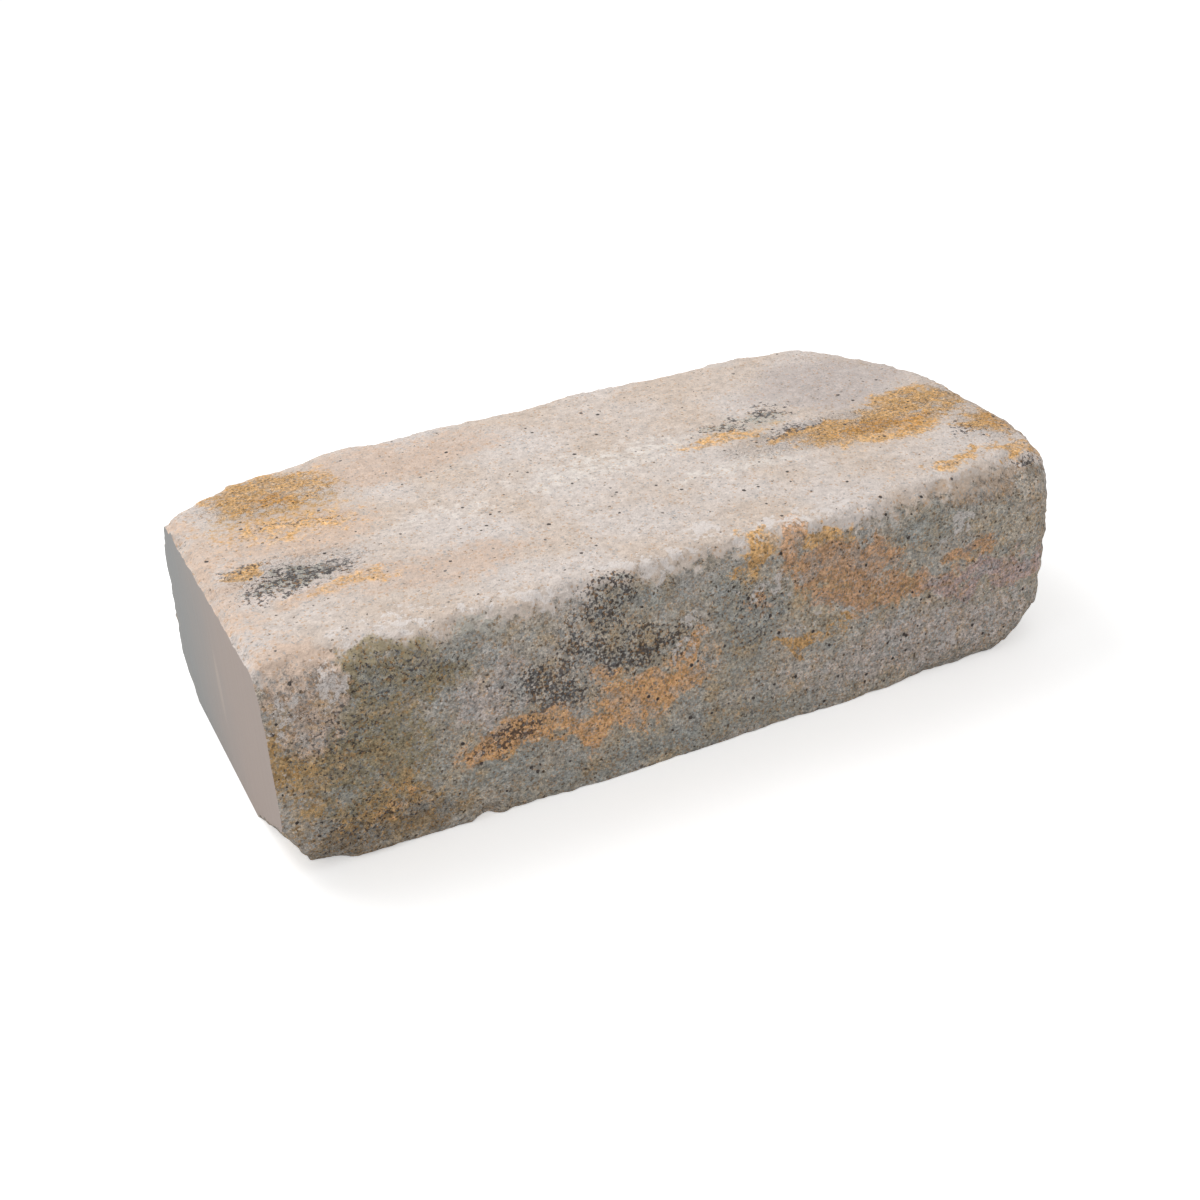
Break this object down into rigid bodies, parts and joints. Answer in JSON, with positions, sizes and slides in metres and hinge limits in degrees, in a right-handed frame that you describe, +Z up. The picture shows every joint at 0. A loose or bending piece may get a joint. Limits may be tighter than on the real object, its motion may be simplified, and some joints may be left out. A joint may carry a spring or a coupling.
{
  "type": "wall block",
  "caption": "Tumbled rectangular concrete block with split long faces, worn edges and corners and a smooth moulded end, laid in courses for garden walls.",
  "frame": {"origin": "middle of the bed, the flat face that the block rests on", "axes": "+X along the length, from the smooth moulded end to the worn end; +Y through the depth, from the face that shows in a wall to the one behind; +Z up through the course height"},
  "size_m": [0.394, 0.193, 0.1],
  "materials": {
    "concrete": "matt, sandy, tumbled; cream and grey with ochre, rust and charcoal patches; one end smooth from the mould"
  },
  "bodies": {
    "root": {"wall_block": "concrete"}
  },
  "joints": []
}
